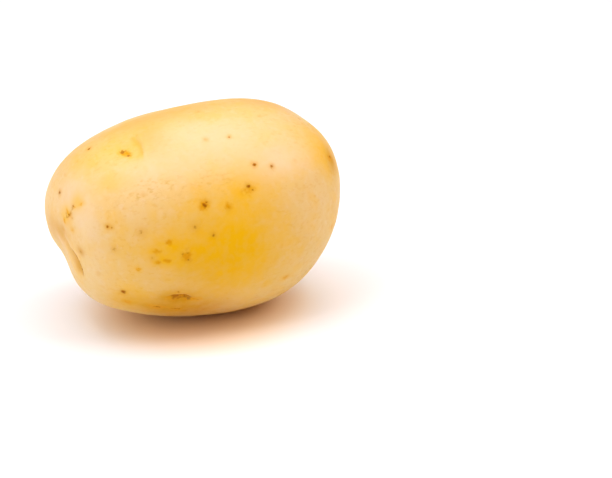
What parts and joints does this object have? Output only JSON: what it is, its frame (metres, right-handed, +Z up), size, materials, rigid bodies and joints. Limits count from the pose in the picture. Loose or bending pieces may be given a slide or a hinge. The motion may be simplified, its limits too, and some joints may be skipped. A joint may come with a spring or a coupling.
{
  "type": "potato",
  "caption": "Whole raw potato: an oblong tuber with shallow eyes, a creased rose end and a stolon scar, lying on a small flat spot.",
  "frame": {"origin": "bottom centre of the bounding box, at the height of the flat spot that the potato rests on", "axes": "+X along the potato, from the rose end, where the eyes crowd, to the stem end; +Z up, out of the flat spot"},
  "size_m": [0.0948, 0.0668, 0.0686],
  "materials": {
    "skin": "satin"
  },
  "bodies": {
    "root": {"potato": "skin"}
  },
  "joints": []
}
